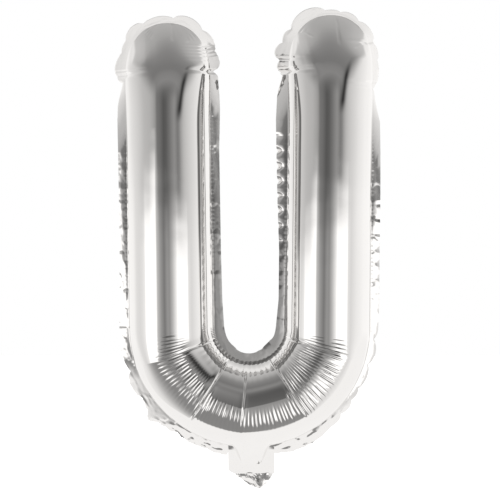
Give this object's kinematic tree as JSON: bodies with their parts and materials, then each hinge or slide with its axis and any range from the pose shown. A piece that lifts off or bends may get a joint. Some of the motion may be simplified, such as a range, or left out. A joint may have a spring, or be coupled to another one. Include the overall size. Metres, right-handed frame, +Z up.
{
  "type": "letter foil balloon",
  "caption": "Air-filled capital U of mirror foil: front and back films rounded into a tube, sealed margin all round, filling tail at the foot.",
  "frame": {"origin": "root of the filling tail, in the seam plane, where the lower edge of the sealed margin crosses the middle of the letter", "axes": "+Z up along the letter's height, +X to the reader's right, the letter's face looks along -Y"},
  "size_m": [0.2109, 0.0672, 0.3837],
  "materials": {
    "mirror_foil": "mirror-bright metallised film",
    "sealed_foil": "mirror-bright film, crinkled by the heat seal",
    "creased_foil": "mirror-bright film, creased and crumpled"
  },
  "bodies": {
    "root": {"front_panel": "mirror_foil", "back_panel": "mirror_foil", "seam_margin": "sealed_foil", "tail_front": "creased_foil", "tail_back": "creased_foil", "tail_tip": "creased_foil"}
  },
  "joints": []
}
